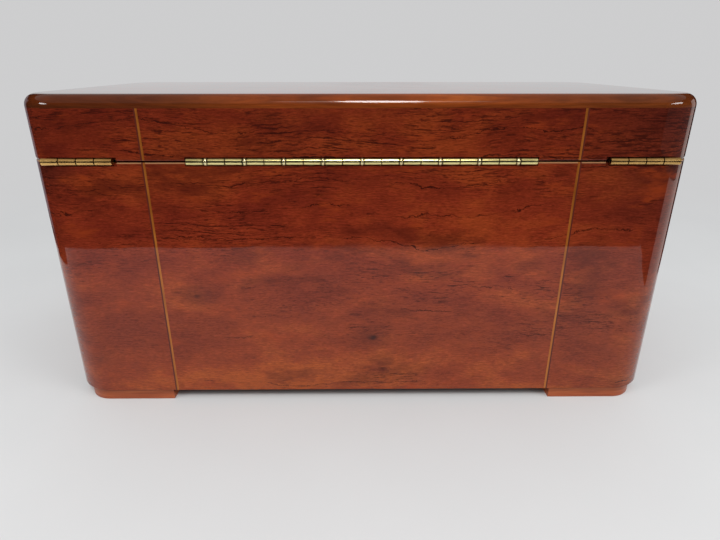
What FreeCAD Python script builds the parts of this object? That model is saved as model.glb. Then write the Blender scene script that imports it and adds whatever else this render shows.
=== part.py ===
import FreeCAD, Part
import math
import os
import re

import Sketcher
import PartDesign

# A hinged keepsake box. +Z is up, the front looks to -Y and the hinges lie along +Y.
# The origin is the centre of the bounding box, on the surface that the feet stand on.
# All sizes are in millimetres.

document = FreeCAD.newDocument("keepsake_box")
sheet = document.addObject("Spreadsheet::Sheet", "sizes")

DRIVING_SIZES = [
    ("box_width", 360.0, "left to right over the wood"),
    ("box_depth", 182.0, "front to back over the wood"),
    ("box_height", 181.0, "feet to lid top"),
    ("foot_height", 7.0, "clear height under the walls"),
    ("foot_reach", 63.0, "length of each arm of a foot from the corner"),
    ("foot_arm", 15.0, "width of each arm of a foot"),
    ("foot_setback", 0.7, "foot behind the back or front face"),
    ("foot_side_setback", 7.5, "foot inside the side's face"),
    ("foot_corner_radius", 15.0, "outer corner of a foot seen from above"),
    ("foot_round", 0.6, "rounding of a foot's lower arris"),
    ("wall", 14.0, "thickness of the walls"),
    ("corner_radius", 25.0, "upright corners seen from above"),
    ("seam_level", 147.5, "middle of the seam, and the hinge axis"),
    ("seam_gap", 0.8, "clear gap between lid and body"),
    ("seam_round", 0.7, "rounding of the seam's outer arrises"),
    ("band_level", 174.3, "lower edge of the lid's solid edging"),
    ("edging_width", 9.0, "width of the edging seen from above"),
    ("edging_round", 6.5, "round-over of the lid"),
    ("plug_depth", 6.0, "depth of the top board's rebated part"),
    ("fit_gap", 0.1, "glue gap round a let-in board"),
    ("rebate_inset", 9.0, "rebate for the base, from the wall's face"),
    ("rebate_depth", 7.0, "height of the rebate"),
    ("felt_thickness", 1.0, "felt under the base"),
    ("inlay_offset", 114.3, "string inlay from the middle"),
    ("inlay_width", 2.0, "width of a string, its dark outer ply included"),
    ("inlay_depth", 1.0, "depth of a string"),
    ("liner_thickness", 2.5, "covered liner boards"),
    ("floor_thickness", 3.0, "covered floor board"),
    ("liner_drop", 6.0, "liner's upper edge below the rim"),
    ("bumper_radius", 4.0, "felt dots on the rim"),
    ("bumper_offset", 148.0, "felt dots from the middle"),
    ("bumper_slack", 0.05, "air over a felt dot"),
    ("notch_radius", 26.0, "radius of the finger notch's arc"),
    ("notch_sink", 4.0, "depth of the finger notch down the wall"),
    ("notch_run", 6.0, "depth of the finger notch into the wall"),
    ("axis_inset", 0.7, "hinge axis inside the back face"),
    ("barrel_radius", 1.9, "outside of a knuckle"),
    ("pin_radius", 1.05, "hinge pin"),
    ("pin_clearance", 0.03, "pin in knuckle"),
    ("groove_gap", 0.5, "air round a barrel"),
    ("leaf_thickness", 0.8, "hinge leaf"),
    ("leaf_width", 11.5, "hinge leaf from the axis"),
    ("leaf_cutback", 2.6, "leaf's rear edge from the axis"),
    ("mortise_gap", 0.2, "air round a leaf"),
    ("centre_hinge_length", 184.0, "centre hinge over its knuckles"),
    ("centre_tight_joint", 0.6, "narrow gap between knuckles"),
    ("centre_wide_joint", 2.2, "wide gap between knuckles, with a collar in it"),
    ("collar_width", 1.9, "collar on the centre pin"),
    ("collar_radius", 2.15, "collar on the centre pin, a little over a knuckle's"),
    ("collar_round", 0.85, "rounding of a collar's two rims"),
    ("end_hinge_start", 130.0, "end hinge's inner end from the middle"),
    ("end_hinge_length", 37.3, "end hinge over its knuckles"),
    ("end_joint", 0.6, "gap between the end hinge's knuckles"),
    ("end_leaf_stop", 164.0, "end leaf's outer end from the middle"),
    ("end_groove_lead", 2.0, "groove ahead of the end hinge"),
    ("end_pin_stop", 166.8, "end pin's outer end from the middle"),
    ("end_pin_recess", 1.6, "end pin's inner end inside its knuckle"),
    ("screw_inset", 7.0, "screws from the hinge axis"),
    ("screw_radius", 1.1, "screw shank"),
    ("screw_length", 9.0, "screw with its head"),
    ("screw_head_radius", 1.9, "countersunk head"),
    ("screw_slack", 0.05, "air round a screw"),
    ("screw_slot_width", 0.5, "driver slot"),
    ("screw_slot_depth", 0.35, "driver slot"),
    ("centre_screw_pitch", 32.0, "screws of the centre hinge"),
    ("end_screw_first", 137.0, "end hinge's first screw from the middle"),
    ("end_screw_second", 157.0, "end hinge's second screw from the middle"),
]

for row, (alias, value, meaning) in enumerate(DRIVING_SIZES, start=1):
    sheet.set("A%d" % row, str(value))
    sheet.setAlias("A%d" % row, alias)
    sheet.set("B%d" % row, meaning)
document.recompute()

ALIASES = {alias for alias, value, meaning in DRIVING_SIZES}
CENTRE_KNUCKLES = 18
END_KNUCKLES = 4
CENTRE_SCREWS = 6
TOLERANCE = 1e-4

# Places worked out from the driving sizes, as expressions.
WOOD_MIDDLE = "(axis_inset - collar_radius) / 2"
HINGE_AXIS = f"({WOOD_MIDDLE} + box_depth / 2 - axis_inset)"
BODY_TOP = "(seam_level - seam_gap / 2)"
LID_BOTTOM = "(seam_level + seam_gap / 2)"
BODY_WALL_HEIGHT = f"({BODY_TOP} - foot_height)"
LID_WALL_HEIGHT = f"(band_level - {LID_BOTTOM})"
EDGING_HEIGHT = "(box_height - band_level)"
CAVITY_WIDTH = "(box_width - 2 * wall)"
CAVITY_DEPTH = "(box_depth - 2 * wall)"
CAVITY_FLOOR = "(foot_height + rebate_depth)"
LINER_TOP = f"({BODY_TOP} - liner_drop)"
CENTRE_PITCH = f"(centre_hinge_length / {CENTRE_KNUCKLES})"
END_PITCH = f"(end_hinge_length / {END_KNUCKLES})"
CORNER_SHARE = "(1 - cos(45))"
TONGUE_ROOT = "(leaf_cutback + leaf_thickness)"

SIDES = {
    "back": (f"{WOOD_MIDDLE} + box_depth / 2", "y", 0),
    "front": (f"{WOOD_MIDDLE} - box_depth / 2", "y", 180),
    "right": ("box_width / 2", "x", -90),
    "left": ("-box_width / 2", "x", 90),
}

sub_parts = []


def bound(expression):
    """The expression with each alias written as a cell of the sheet."""
    return re.sub(r"[a-z_]+", lambda word: "sizes." + word[0] if word[0] in ALIASES else word[0],
                  str(expression))


def value_of(expression):
    """The number that an expression has now."""
    return float(sheet.evalExpression(bound(expression)))


def bind(thing, prop, expression):
    thing.setExpression(prop, bound(expression))


def new_body(name):
    body = document.addObject("PartDesign::Body", name)
    body.Label = name
    body.AllowCompound = True
    sub_parts.append(body)
    return body


def place(thing, across="0", along="0", up="0", turn=0):
    thing.Placement = FreeCAD.Placement(FreeCAD.Vector(), FreeCAD.Rotation(FreeCAD.Vector(0, 0, 1), turn))
    for axis, expression in (("x", across), ("y", along), ("z", up)):
        bind(thing, "Placement.Base." + axis, expression)


def place_on_side(body, side, up):
    offset, axis, turn = SIDES[side]
    if axis == "y":
        place(body, "0", offset, up, turn)
    else:
        place(body, offset, WOOD_MIDDLE, up, turn)


def origin_plane(body, role):
    return next(feature for feature in body.Origin.OriginFeatures if feature.Role == role)


def new_sketch(body, name, plane, offset="0"):
    sketch = body.newObject("Sketcher::SketchObject", name)
    sketch.AttachmentSupport = [(origin_plane(body, plane), "")]
    sketch.MapMode = "FlatFace"
    bind(sketch, "AttachmentOffset.Base.z", offset)
    return sketch


def pin_point(sketch, geometry, point, across, up):
    """Ties one point of a sketch to the sheet."""
    for kind, expression in (("DistanceX", across), ("DistanceY", up)):
        number = sketch.addConstraint(
            Sketcher.Constraint(kind, -1, 1, geometry, point, value_of(expression)))
        bind(sketch, "Constraints[%d]" % number, expression)


def add_outline(sketch, corners, arcs=None):
    """A closed outline. An arc follows corner i where arcs[i] is its centre and radius."""
    arcs = arcs or {}
    points = [FreeCAD.Vector(value_of(across), value_of(up), 0) for across, up in corners]
    starts = []
    for index, start in enumerate(points):
        end = points[(index + 1) % len(points)]
        if index not in arcs:
            geometry = sketch.addGeometry(Part.LineSegment(start, end), False)
            starts.append((geometry, 1, 2))
            continue
        centre_across, centre_up, radius = arcs[index]
        centre = FreeCAD.Vector(value_of(centre_across), value_of(centre_up), 0)
        first = math.atan2(start.y - centre.y, start.x - centre.x)
        last = math.atan2(end.y - centre.y, end.x - centre.x)
        circle = Part.Circle(centre, FreeCAD.Vector(0, 0, 1), value_of(radius))
        if (last - first) % (2 * math.pi) < math.pi:
            geometry = sketch.addGeometry(Part.ArcOfCircle(circle, first, last), False)
            starts.append((geometry, 1, 2))
        else:
            geometry = sketch.addGeometry(Part.ArcOfCircle(circle, last, first), False)
            starts.append((geometry, 2, 1))
        number = sketch.addConstraint(Sketcher.Constraint("Radius", geometry, value_of(radius)))
        bind(sketch, "Constraints[%d]" % number, radius)
    for index, (geometry, start_point, end_point) in enumerate(starts):
        following, following_start, unused = starts[(index + 1) % len(starts)]
        sketch.addConstraint(
            Sketcher.Constraint("Coincident", geometry, end_point, following, following_start))
        pin_point(sketch, geometry, start_point, *corners[index])


def add_rectangle(sketch, low_across, high_across, low_up, high_up):
    add_outline(sketch, [(low_across, low_up), (high_across, low_up),
                         (high_across, high_up), (low_across, high_up)])


def add_circle(sketch, across, up, radius):
    centre = FreeCAD.Vector(value_of(across), value_of(up), 0)
    circle = Part.Circle(centre, FreeCAD.Vector(0, 0, 1), value_of(radius))
    geometry = sketch.addGeometry(circle, False)
    number = sketch.addConstraint(Sketcher.Constraint("Radius", geometry, value_of(radius)))
    bind(sketch, "Constraints[%d]" % number, radius)
    pin_point(sketch, geometry, 3, across, up)


def pad(body, name, sketch, length, backwards=False, taper=0):
    feature = body.newObject("PartDesign::Pad", name)
    feature.Profile = sketch
    bind(feature, "Length", length)
    feature.Reversed = backwards
    feature.TaperAngle = taper
    document.recompute()
    return feature


def pocket(body, name, sketch, length=None, backwards=False, both_ways=False, taper=0):
    """Cuts by a length, or right through. It fails where it takes nothing away."""
    volume_before = body.Tip.Shape.Volume
    feature = body.newObject("PartDesign::Pocket", name)
    feature.Profile = sketch
    feature.Reversed = backwards
    feature.TaperAngle = taper
    if both_ways:
        feature.SideType = "Symmetric"
    if length is None:
        feature.Type = "ThroughAll"
    else:
        bind(feature, "Length", length)
    document.recompute()
    if not feature.Shape.Volume < volume_before - TOLERANCE:
        raise RuntimeError("%s of %s cuts nothing" % (name, body.Label))
    return feature


def round_edges(body, name, radius, wanted):
    """Rounds the edges of the tip that pass the test."""
    tip = body.Tip
    names = ["Edge%d" % number for number, edge in enumerate(tip.Shape.Edges, start=1) if wanted(edge)]
    feature = body.newObject("PartDesign::Fillet", name)
    feature.Base = (tip, names)
    bind(feature, "Radius", radius)
    document.recompute()
    return feature


def both_ends(wanted):
    """A test of an edge that asks the same of its two ends."""
    return lambda edge: all(wanted(vertex.Point) for vertex in edge.Vertexes)


def near(first, second):
    return abs(first - second) < TOLERANCE


def mitred_plan(length, width, rounded_inside=False):
    """Plan of one side of a mitred frame: outer face on y = 0, the inside towards -y."""
    half = f"({length} / 2)"
    radius = "corner_radius"
    outer_end = f"({half} - {radius} * {CORNER_SHARE})"
    outer_back = f"(-{radius} * {CORNER_SHARE})"
    straight_end = f"({half} - {radius})"
    left_centre = (f"-{straight_end}", f"-{radius}")
    right_centre = (straight_end, f"-{radius}")
    corners = [(f"-{outer_end}", outer_back), (f"-{straight_end}", "0"),
               (straight_end, "0"), (outer_end, outer_back)]
    arcs = {0: (*left_centre, radius), 2: (*right_centre, radius)}
    if not rounded_inside:
        corners += [(f"({half} - {width})", f"-{width}"), (f"-({half} - {width})", f"-{width}")]
        return corners, arcs
    inner_radius = f"({radius} - {width})"
    inner_end = f"({straight_end} + {inner_radius} * cos(45))"
    inner_back = f"(-{radius} + {inner_radius} * cos(45))"
    corners += [(inner_end, inner_back), (straight_end, f"-{width}"),
                (f"-{straight_end}", f"-{width}"), (f"-{inner_end}", inner_back)]
    arcs[4] = (*right_centre, inner_radius)
    arcs[6] = (*left_centre, inner_radius)
    return corners, arcs


def side_length(side):
    return "box_width" if side in ("front", "back") else "box_depth"


def on_outer_face(point):
    """True for a point on the rounded outer outline of a mitred side."""
    return point.y > value_of(f"-corner_radius * {CORNER_SHARE}") - TOLERANCE


def cut_inlay_grooves(body, wall_height):
    sketch = new_sketch(body, "inlay_grooves_outline", "XZ_Plane")
    for side in ("-", "+"):
        add_rectangle(sketch, f"{side}inlay_offset - inlay_width / 2",
                      f"{side}inlay_offset + inlay_width / 2", "0", wall_height)
    pocket(body, "inlay_grooves", sketch, "inlay_depth", backwards=True)


def centre_screw_places():
    """The centre hinge's screws, from the middle."""
    return [f"centre_screw_pitch * ({number} - {(CENTRE_SCREWS - 1) / 2})"
            for number in range(CENTRE_SCREWS)]


def end_screw_places(sign):
    return [f"{sign}end_screw_first", f"{sign}end_screw_second"]


def all_screw_places():
    return centre_screw_places() + end_screw_places("-") + end_screw_places("")


def cut_hinge_seats(body, axis_up, seam_face, into_wood):
    """Barrel grooves, leaf mortises and pilot holes; into_wood is -1 or 1 for down or up."""
    groove_radius = "barrel_radius + groove_gap"
    mortise_floor = f"({seam_face} + {into_wood} * leaf_thickness)"
    mortise_open = f"({seam_face} - {into_wood} * seam_gap)"
    low, high = (mortise_floor, mortise_open) if into_wood < 0 else (mortise_open, mortise_floor)
    mortise_front = "-(axis_inset + leaf_width + mortise_gap)"

    groove = new_sketch(body, "centre_groove_outline", "YZ_Plane")
    add_circle(groove, "-axis_inset", axis_up, groove_radius)
    pocket(body, "centre_groove", groove, "centre_hinge_length + 2 * groove_gap", both_ways=True)
    mortise = new_sketch(body, "centre_mortise_outline", "YZ_Plane")
    add_rectangle(mortise, mortise_front, "-axis_inset", low, high)
    pocket(body, "centre_mortise", mortise, "centre_hinge_length + 2 * mortise_gap", both_ways=True)

    for name, sign in (("left", "-"), ("right", "")):
        outwards = sign == ""
        start = f"{sign}(end_hinge_start - end_groove_lead)"
        groove = new_sketch(body, name + "_groove_outline", "YZ_Plane", start)
        add_circle(groove, "-axis_inset", axis_up, groove_radius)
        pocket(body, name + "_groove", groove, "corner_radius + end_hinge_length", backwards=outwards)
        start = f"{sign}(end_hinge_start - mortise_gap)"
        mortise = new_sketch(body, name + "_mortise_outline", "YZ_Plane", start)
        add_rectangle(mortise, mortise_front, "-axis_inset", low, high)
        pocket(body, name + "_mortise", mortise,
               "end_leaf_stop - end_hinge_start + 2 * mortise_gap", backwards=outwards)
        slot = new_sketch(body, name + "_knuckle_slot_outline", "YZ_Plane", start)
        add_rectangle(slot, f"-(axis_inset + {TONGUE_ROOT} + mortise_gap)", "-axis_inset", low, high)
        pocket(body, name + "_knuckle_slot", slot, "corner_radius + end_hinge_length",
               backwards=outwards)

    pilots = new_sketch(body, "pilot_outline", "XY_Plane", seam_face)
    for across in all_screw_places():
        add_circle(pilots, across, "-screw_inset - axis_inset", "screw_radius + screw_slack")
    pocket(body, "pilot_holes", pilots, "screw_length + 1", backwards=into_wood > 0)


def cut_base_rebate(body):
    sketch = new_sketch(body, "rebate_outline", "YZ_Plane")
    add_rectangle(sketch, "-2 * wall", "-rebate_inset", "-1", "rebate_depth")
    pocket(body, "base_rebate", sketch, both_ways=True)


def cut_finger_notch(body, wall_height):
    """A shallow scoop in the middle of the front rim, to lift the lid by."""
    half = "sqrt(notch_radius ^ 2 - (notch_radius - notch_sink) ^ 2)"
    centre_up = f"({wall_height} + notch_radius - notch_sink)"
    sketch = new_sketch(body, "notch_outline", "XZ_Plane")
    add_outline(sketch, [(f"-{half}", wall_height), ("0", f"{wall_height} - notch_sink"),
                         (half, wall_height)],
                {0: ("0", centre_up, "notch_radius"), 1: ("0", centre_up, "notch_radius")})
    pocket(body, "finger_notch", sketch, "notch_run", backwards=True)


def mitred_wall(name, side, base_level, height, seam_on_top):
    body = new_body(name)
    place_on_side(body, side, base_level)
    plan = new_sketch(body, "plan", "XY_Plane")
    add_outline(plan, *mitred_plan(side_length(side), "wall"))
    pad(body, "wall_block", plan, height)
    seam_at = value_of(height) if seam_on_top else 0
    round_edges(body, "arris", "seam_round",
                both_ends(lambda point: near(point.z, seam_at) and on_outer_face(point)))
    return body


def body_wall(side):
    body = mitred_wall(f"body_{side}_panel", side, "foot_height", BODY_WALL_HEIGHT, True)
    cut_base_rebate(body)
    if side in ("front", "back"):
        cut_inlay_grooves(body, BODY_WALL_HEIGHT)
    if side == "back":
        cut_hinge_seats(body, "seam_level - foot_height", BODY_WALL_HEIGHT, -1)
    if side == "front":
        cut_finger_notch(body, BODY_WALL_HEIGHT)


def lid_rail(side):
    body = mitred_wall(f"lid_{side}_rail", side, LID_BOTTOM, LID_WALL_HEIGHT, False)
    if side in ("front", "back"):
        cut_inlay_grooves(body, LID_WALL_HEIGHT)
    if side == "back":
        cut_hinge_seats(body, "-seam_gap / 2", "0", 1)


def lid_edging(side):
    body = new_body(f"lid_edging_{side}")
    place_on_side(body, side, "band_level")
    plan = new_sketch(body, "plan", "XY_Plane")
    add_outline(plan, *mitred_plan(side_length(side), "edging_width", rounded_inside=True))
    pad(body, "moulding", plan, EDGING_HEIGHT)
    round_edges(body, "round_over", "edging_round",
                both_ends(lambda point: near(point.z, value_of(EDGING_HEIGHT)) and on_outer_face(point)))


def inlay_strings(name, side, base_level, height, seam_on_top):
    body = new_body(name)
    place_on_side(body, side, base_level)
    plan = new_sketch(body, "plan", "XY_Plane")
    for sign in ("-", "+"):
        add_rectangle(plan, f"{sign}inlay_offset - inlay_width / 2",
                      f"{sign}inlay_offset + inlay_width / 2", "-inlay_depth", "0")
    pad(body, "strings", plan, height)
    seam_at = value_of(height) if seam_on_top else 0
    round_edges(body, "arris", "seam_round",
                both_ends(lambda point: near(point.z, seam_at) and near(point.y, 0)))


def lid_top_panel():
    body = new_body("lid_top_panel")
    place(body, "0", WOOD_MIDDLE, "band_level")
    half_width = "(box_width / 2 - edging_width)"
    half_depth = "(box_depth / 2 - edging_width)"
    radius = "(corner_radius - edging_width)"
    plate = new_sketch(body, "plate_outline", "XY_Plane")
    corners = []
    arcs = {}
    for side_x, side_y, first_on_side in (("", "-", False), ("", "", True),
                                          ("-", "", False), ("-", "-", True)):
        along_side = (f"{side_x}{half_width}", f"{side_y}({half_depth} - {radius})")
        along_front = (f"{side_x}({half_width} - {radius})", f"{side_y}{half_depth}")
        arcs[len(corners)] = (along_front[0], along_side[1], radius)
        corners += [along_side, along_front] if first_on_side else [along_front, along_side]
    add_outline(plate, corners, arcs)
    pad(body, "plate", plate, EDGING_HEIGHT)
    plug = new_sketch(body, "plug_outline", "XY_Plane")
    add_rectangle(plug, f"-({CAVITY_WIDTH} / 2 - fit_gap)", f"{CAVITY_WIDTH} / 2 - fit_gap",
                  f"-({CAVITY_DEPTH} / 2 - fit_gap)", f"{CAVITY_DEPTH} / 2 - fit_gap")
    pad(body, "plug", plug, "plug_depth", backwards=True)


def corner_foot(name, across, along, turn, x_setback, y_setback):
    """An L-shaped foot with a rounded outer corner, set in from the box's two faces."""
    body = new_body(name)
    place(body, across, along, "0", turn)
    round_across = f"-({x_setback} + foot_corner_radius)"
    round_along = f"-({y_setback} + foot_corner_radius)"
    inner_across = f"-({x_setback} + foot_arm)"
    inner_along = f"-({y_setback} + foot_arm)"
    plan = new_sketch(body, "plan", "XY_Plane")
    add_outline(plan, [("-foot_reach", f"-{y_setback}"), (round_across, f"-{y_setback}"),
                       (f"-{x_setback}", round_along), (f"-{x_setback}", "-foot_reach"),
                       (inner_across, "-foot_reach"), (inner_across, inner_along),
                       ("-foot_reach", inner_along)],
                {1: (round_across, round_along, "foot_corner_radius")})
    pad(body, "foot_block", plan, "foot_height")
    x_face = -value_of(x_setback)
    y_face = -value_of(y_setback)
    round_edges(body, "arris", "foot_round",
                both_ends(lambda point: near(point.z, 0)
                          and (near(point.x, x_face) or near(point.y, y_face))))


def corner_feet():
    half_width = "box_width / 2"
    back = f"{WOOD_MIDDLE} + box_depth / 2"
    front = f"{WOOD_MIDDLE} - box_depth / 2"
    side_inset = "foot_side_setback"
    face_inset = "foot_setback"
    corner_foot("foot_back_right", half_width, back, 0, side_inset, face_inset)
    corner_foot("foot_back_left", "-" + half_width, back, 90, face_inset, side_inset)
    corner_foot("foot_front_left", "-" + half_width, front, 180, side_inset, face_inset)
    corner_foot("foot_front_right", half_width, front, 270, face_inset, side_inset)


def board(name, width, depth, thickness, low, across="0", along=WOOD_MIDDLE):
    """A plain rectangular board, given by its middle and its underside."""
    box = document.addObject("Part::Box", name)
    box.Label = name
    for prop, expression in (("Length", width), ("Width", depth), ("Height", thickness)):
        bind(box, prop, expression)
    place(box, f"{across} - ({width}) / 2", f"{along} - ({depth}) / 2", low)
    sub_parts.append(box)


def base_and_liners():
    rebate_width = "(box_width - 2 * rebate_inset - 2 * fit_gap)"
    rebate_span = "(box_depth - 2 * rebate_inset - 2 * fit_gap)"
    board("base_felt", rebate_width, rebate_span, "felt_thickness", "foot_height")
    board("base_panel", rebate_width, rebate_span, "rebate_depth - felt_thickness",
          "foot_height + felt_thickness")
    board("liner_floor", CAVITY_WIDTH, CAVITY_DEPTH, "floor_thickness", CAVITY_FLOOR)
    low = f"({CAVITY_FLOOR} + floor_thickness)"
    height = f"({LINER_TOP} - {low})"
    row = f"({CAVITY_DEPTH} - liner_thickness) / 2"
    column = f"({CAVITY_WIDTH} - liner_thickness) / 2"
    board("liner_back", CAVITY_WIDTH, "liner_thickness", height, low, "0", f"{WOOD_MIDDLE} + {row}")
    board("liner_front", CAVITY_WIDTH, "liner_thickness", height, low, "0", f"{WOOD_MIDDLE} - {row}")
    inner_depth = f"{CAVITY_DEPTH} - 2 * liner_thickness"
    board("liner_right", "liner_thickness", inner_depth, height, low, column)
    board("liner_left", "liner_thickness", inner_depth, height, low, f"-{column}")
    board("lid_liner", f"{CAVITY_WIDTH} - 2 * fit_gap", f"{CAVITY_DEPTH} - 2 * fit_gap",
          "liner_thickness", "band_level - plug_depth - liner_thickness")


def rim_bumpers():
    body = new_body("rim_bumpers")
    place(body, "0", f"{WOOD_MIDDLE} - box_depth / 2 + wall / 2", BODY_TOP)
    sketch = new_sketch(body, "dots_outline", "XY_Plane")
    add_circle(sketch, "-bumper_offset", "0", "bumper_radius")
    add_circle(sketch, "bumper_offset", "0", "bumper_radius")
    pad(body, "dots", sketch, "seam_gap - bumper_slack")


def hinge_leaf(name, level, first, knuckles, start, pitch, joints, leaf_end, screws, sign=""):
    """One leaf with every second knuckle. level is -1 for the body's leaf and 1 for the lid's.

    start, pitch and leaf_end are measured from the middle, along the side that sign names.
    joints holds the gaps on a knuckle's two sides, for even knuckles; odd ones have them swapped.
    """
    body = new_body(name)
    place(body, "0", HINGE_AXIS, "seam_level")
    outwards_is_negative = sign == "-"
    near_face = f"({level} * seam_gap / 2)"
    far_face = f"({level} * (seam_gap / 2 + leaf_thickness))"
    low, high = (far_face, near_face) if level < 0 else (near_face, far_face)

    plate = new_sketch(body, "plate_outline", "YZ_Plane", f"{sign}({start})")
    add_rectangle(plate, "-leaf_width", "-leaf_cutback", low, high)
    pad(body, "plate", plate, f"{leaf_end} - ({start})", backwards=outwards_is_negative)

    gap_before, gap_after = joints if first == 0 else joints[::-1]
    knuckle_start = f"({start} + {first} * {pitch} + {gap_before} / 2)"
    knuckle_length = f"{pitch} - ({gap_before} + {gap_after}) / 2"
    barrel = new_sketch(body, "barrel_outline", "YZ_Plane", f"{sign}{knuckle_start}")
    add_circle(barrel, "0", "0", "barrel_radius")
    barrel_pad = pad(body, "barrel", barrel, knuckle_length, backwards=outwards_is_negative)
    tongue = new_sketch(body, "tongue_outline", "YZ_Plane", f"{sign}{knuckle_start}")
    add_rectangle(tongue, f"-{TONGUE_ROOT}", "-barrel_radius + leaf_thickness", low, high)
    tongue_pad = pad(body, "tongue", tongue, knuckle_length, backwards=outwards_is_negative)
    pattern = body.newObject("PartDesign::LinearPattern", "knuckles")
    pattern.Originals = [barrel_pad, tongue_pad]
    pattern.Direction = (origin_plane(body, "X_Axis"), [""])
    pattern.Reversed = outwards_is_negative
    pattern.Occurrences = knuckles // 2
    bind(pattern, "Length", f"2 * {pitch} * {knuckles // 2 - 1}")
    body.Tip = pattern
    document.recompute()

    bore = new_sketch(body, "bore_outline", "YZ_Plane")
    add_circle(bore, "0", "0", "pin_radius + pin_clearance")
    pocket(body, "bore", bore, both_ways=True)
    holes = new_sketch(body, "screw_holes_outline", "XY_Plane", near_face)
    for across in screws:
        add_circle(holes, across, "-screw_inset", "screw_head_radius + screw_slack")
    pocket(body, "screw_holes", holes, "leaf_thickness", backwards=level > 0, taper=-45)


def hinge_pin(name, start, stop, sign=""):
    body = new_body(name)
    place(body, "0", HINGE_AXIS, "seam_level")
    section = new_sketch(body, "section", "YZ_Plane", f"{sign}({start})")
    add_circle(section, "0", "0", "pin_radius")
    pad(body, "rod", section, f"{stop} - ({start})", backwards=sign == "-")
    return body


def pin_collars(body, first_joint):
    """A round-edged collar in each wide gap of the centre hinge, one with its pin."""
    section = new_sketch(body, "collar_outline", "YZ_Plane", f"{first_joint} - collar_width / 2")
    add_circle(section, "0", "0", "collar_radius")
    collar = pad(body, "collar", section, "collar_width")
    pattern = body.newObject("PartDesign::LinearPattern", "collars")
    pattern.Originals = [collar]
    pattern.Direction = (origin_plane(body, "X_Axis"), [""])
    pattern.Occurrences = CENTRE_KNUCKLES // 2
    bind(pattern, "Length", f"2 * {CENTRE_PITCH} * {CENTRE_KNUCKLES // 2 - 1}")
    body.Tip = pattern
    document.recompute()
    round_edges(body, "collar_rims", "collar_round", is_collar_rim)


def is_collar_rim(edge):
    """True for a circle as large as a collar's rim."""
    return hasattr(edge.Curve, "Radius") and near(edge.Curve.Radius, value_of("collar_radius"))


def hinges():
    centre_start = "-centre_hinge_length / 2"
    centre_joints = ("centre_tight_joint", "centre_wide_joint")
    end_joints = ("end_joint", "end_joint")
    for level, leaf, first in ((-1, "lower", 0), (1, "upper", 1)):
        hinge_leaf(f"centre_hinge_{leaf}_leaf", level, first, CENTRE_KNUCKLES, centre_start,
                   CENTRE_PITCH, centre_joints, "centre_hinge_length / 2", centre_screw_places())
        for side, sign in (("left", "-"), ("right", "")):
            hinge_leaf(f"{side}_hinge_{leaf}_leaf", level, first, END_KNUCKLES, "end_hinge_start",
                       END_PITCH, end_joints, "end_leaf_stop", end_screw_places(sign), sign)
    centre_pin = hinge_pin("centre_hinge_pin", f"{centre_start} + centre_tight_joint",
                           "centre_hinge_length / 2 - centre_tight_joint")
    pin_collars(centre_pin, f"({centre_start} + {CENTRE_PITCH})")
    for side, sign in (("left", "-"), ("right", "")):
        hinge_pin(f"{side}_hinge_pin", "end_hinge_start + end_pin_recess", "end_pin_stop", sign)


def hinge_screws(name, level):
    """All screws of one level, heads flush with their leaf."""
    body = new_body(name)
    place(body, "0", HINGE_AXIS, "seam_level")
    face = f"({level} * seam_gap / 2)"
    into_wood_is_down = level < 0
    heads = new_sketch(body, "heads_outline", "XY_Plane", face)
    shanks = new_sketch(body, "shanks_outline", "XY_Plane", face)
    slots = new_sketch(body, "slots_outline", "XY_Plane", face)
    for across in all_screw_places():
        add_circle(heads, across, "-screw_inset", "screw_head_radius")
        add_circle(shanks, across, "-screw_inset", "screw_radius")
        add_rectangle(slots, f"{across} - screw_head_radius", f"{across} + screw_head_radius",
                      "-screw_inset - screw_slot_width / 2", "-screw_inset + screw_slot_width / 2")
    pad(body, "heads", heads, "leaf_thickness", backwards=into_wood_is_down, taper=-45)
    pad(body, "shanks", shanks, "screw_length", backwards=into_wood_is_down)
    pocket(body, "slots", slots, "screw_slot_depth", backwards=level > 0)


def build():
    for side in SIDES:
        body_wall(side)
    for side in SIDES:
        lid_rail(side)
    for side in SIDES:
        lid_edging(side)
    for side in ("back", "front"):
        inlay_strings(f"body_{side}_inlays", side, "foot_height", BODY_WALL_HEIGHT, True)
        inlay_strings(f"lid_{side}_inlays", side, LID_BOTTOM, LID_WALL_HEIGHT, False)
    lid_top_panel()
    corner_feet()
    base_and_liners()
    rim_bumpers()
    hinges()
    hinge_screws("body_hinge_screws", -1)
    hinge_screws("lid_hinge_screws", 1)


def check_document():
    document.recompute()
    for thing in document.Objects:
        if any(state in thing.State for state in ("Invalid", "Error")):
            raise RuntimeError("%s failed: %s" % (thing.Label, thing.State))
    for sub_part in sub_parts:
        if sub_part.Shape.isNull() or not sub_part.Shape.isValid():
            raise RuntimeError("%s has no valid shape" % sub_part.Label)


def write_parts():
    os.makedirs("parts", exist_ok=True)
    for sub_part in sub_parts:
        sub_part.Shape.exportStep("parts/%s.step" % sub_part.Label)
        bounds = sub_part.Shape.BoundBox
        print("%-28s solids %2d  volume %10.1f  x %7.2f %7.2f  y %7.2f %7.2f  z %7.2f %7.2f" % (
            sub_part.Label, len(sub_part.Shape.Solids), sub_part.Shape.Volume, bounds.XMin,
            bounds.XMax, bounds.YMin, bounds.YMax, bounds.ZMin, bounds.ZMax))


build()
check_document()
write_parts()
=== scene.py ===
import math

import bpy
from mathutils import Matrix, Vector


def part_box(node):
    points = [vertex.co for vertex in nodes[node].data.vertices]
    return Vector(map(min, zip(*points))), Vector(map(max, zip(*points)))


# The look of a hinged keepsake box: gloss lacquer over figured veneer, brass hinges, suede inside.
# Everything is in metres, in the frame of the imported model. Materials work in millimetres.

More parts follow.
